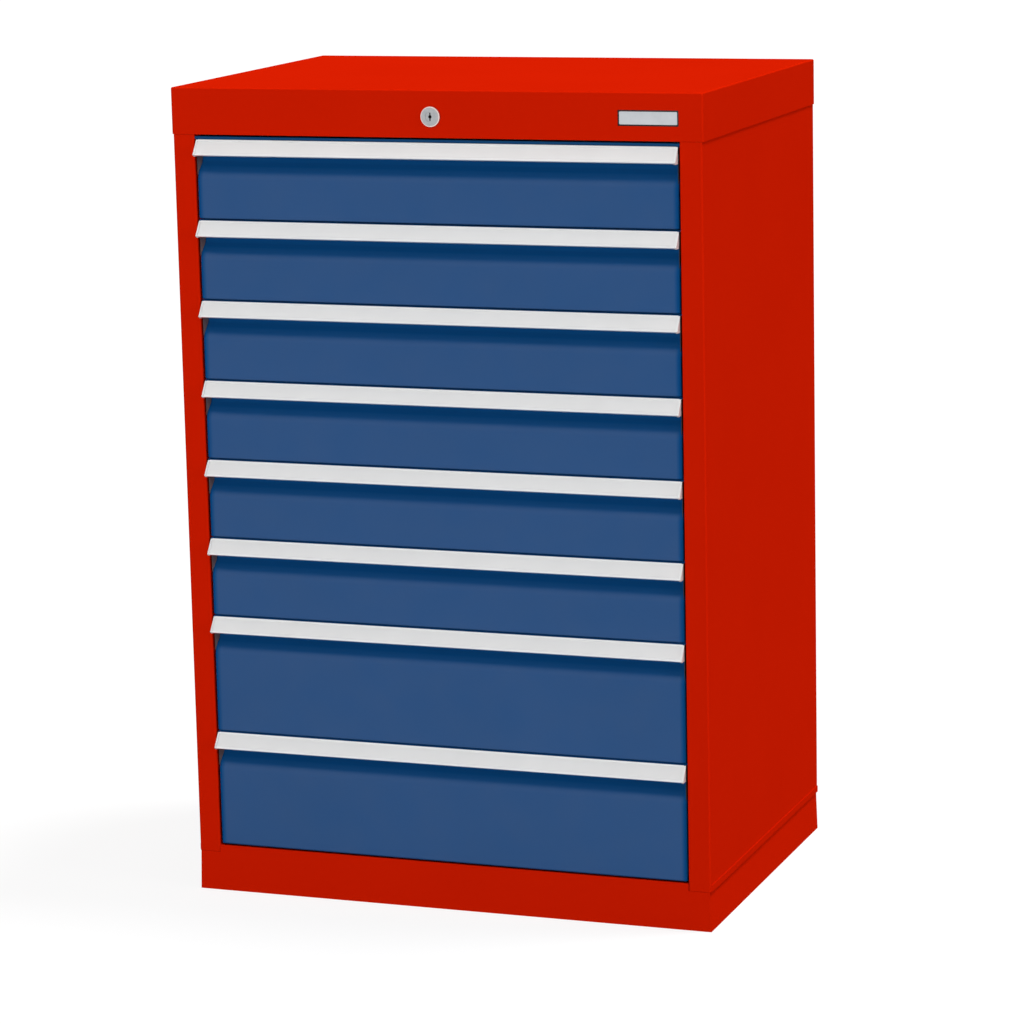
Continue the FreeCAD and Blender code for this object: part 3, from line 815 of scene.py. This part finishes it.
studio = {
    "floorSize": 60.0,
    "floorSeen": (0.15, 0.15, 0.15),
    "floorGlow": 0.87,
    "floorBounce": (0.10, 0.10, 0.10),
    "floorSpeckle": 0.4,
    "floorRoughness": (0.86, 0.94),
    "ambient": 0.42,
}
lamps = {
    "frontLamp": {"towards": (0.04, -1.0, 0.05), "level": 0.61, "spread": 16},
    "highLamp": {"towards": (0.04, -0.87, 0.50), "level": 0.13, "spread": 24},
    "topLamp": {"towards": (0.35, 0.20, 0.92), "level": 0.78, "spread": 16},
    "sideLamp": {"towards": (0.97, -0.10, 0.15), "level": 0.37, "spread": 30},
}
cameraFit = {
    "place": (1.68447, -4.55631, 1.42385),
    "turn": 20.2172, "tilt": 11.2202, "roll": -1.2352,
    "focal": 3865.94, "imageSize": 1024, "sensor": 36, "clipEnd": 200,
}


def seenDirectly(tree):
    # 1 for the camera, and for what metal and clear surfaces show
    rays = addNode(tree, "ShaderNodeLightPath")
    seen = rays.outputs["Is Camera Ray"]
    for kind in ("Is Glossy Ray", "Is Transmission Ray"):
        either = addNode(tree, "ShaderNodeMath", {"operation": "MAXIMUM"})
        tree.links.new(seen, either.inputs[0])
        tree.links.new(rays.outputs[kind], either.inputs[1])
        seen = either.outputs[0]
    return seen


def makeFloor():
    bpy.ops.mesh.primitive_plane_add(size=studio["floorSize"], location=(0, 0, 0))
    floor = bpy.context.active_object
    floor.name = "studioFloor"
    material, tree, shader = startMaterial("paleFloor")
    direct = seenDirectly(tree)
    colour = addColourMix(tree, direct, studio["floorBounce"], studio["floorSeen"])
    speckle = addNoise(tree, pieceCoords(tree), studio["floorSpeckle"], detail=3)
    tree.links.new(colour, shader.inputs["Base Color"])
    tree.links.new(addRange(tree, speckle, *studio["floorRoughness"]), shader.inputs["Roughness"])
    tree.links.new(addRange(tree, direct, 0, studio["floorGlow"], 0, 1),
                   shader.inputs["Emission Strength"])
    shader.inputs["Emission Color"].default_value = (1, 1, 1, 1)
    shader.inputs["Specular IOR Level"].default_value = 0.0
    floor.data.materials.append(material)


def makeWorld():
    world = bpy.data.worlds.new("softWhite")
    bpy.context.scene.world = world
    world.use_nodes = True
    tree = world.node_tree
    background = tree.nodes["Background"]
    background.inputs["Color"].default_value = (1, 1, 1, 1)
    level = addRange(tree, seenDirectly(tree), studio["ambient"], 1.0, 0, 1)
    tree.links.new(level, background.inputs["Strength"])


def makeLamps():
    # level 1 lights a surface that faces the lamp so that its colour shows as written
    for name, lamp in lamps.items():
        light = bpy.data.lights.new(name, "SUN")
        light.energy = lamp["level"] * math.pi
        light.angle = math.radians(lamp["spread"])
        holder = bpy.data.objects.new(name, light)
        bpy.context.scene.collection.objects.link(holder)
        holder.rotation_euler = Vector(lamp["towards"]).to_track_quat("Z", "Y").to_euler()
        holder.visible_glossy = False


def makeCamera():
    fit = cameraFit
    turn, tilt, roll = (math.radians(fit[key]) for key in ("turn", "tilt", "roll"))
    ahead = Vector((-math.sin(turn) * math.cos(tilt), math.cos(turn) * math.cos(tilt),
                    -math.sin(tilt)))
    level = ahead.cross(Vector((0, 0, 1))).normalized()
    upright = level.cross(ahead)
    right = level * math.cos(roll) + upright * math.sin(roll)
    up = right.cross(ahead)
    lens = bpy.data.cameras.new("photoCamera")
    lens.sensor_width = fit["sensor"]
    lens.lens = fit["focal"] / fit["imageSize"] * lens.sensor_width
    lens.clip_end = fit["clipEnd"]
    camera = bpy.data.objects.new("photoCamera", lens)
    bpy.context.scene.collection.objects.link(camera)
    camera.matrix_world = Matrix.Translation(fit["place"]) @ Matrix(
        (right, up, -ahead)).transposed().to_4x4()
    bpy.context.scene.camera = camera


makeFloor()
makeWorld()
makeLamps()
makeCamera()
bpy.context.scene.view_settings.view_transform = "Standard"
print("studio ready")
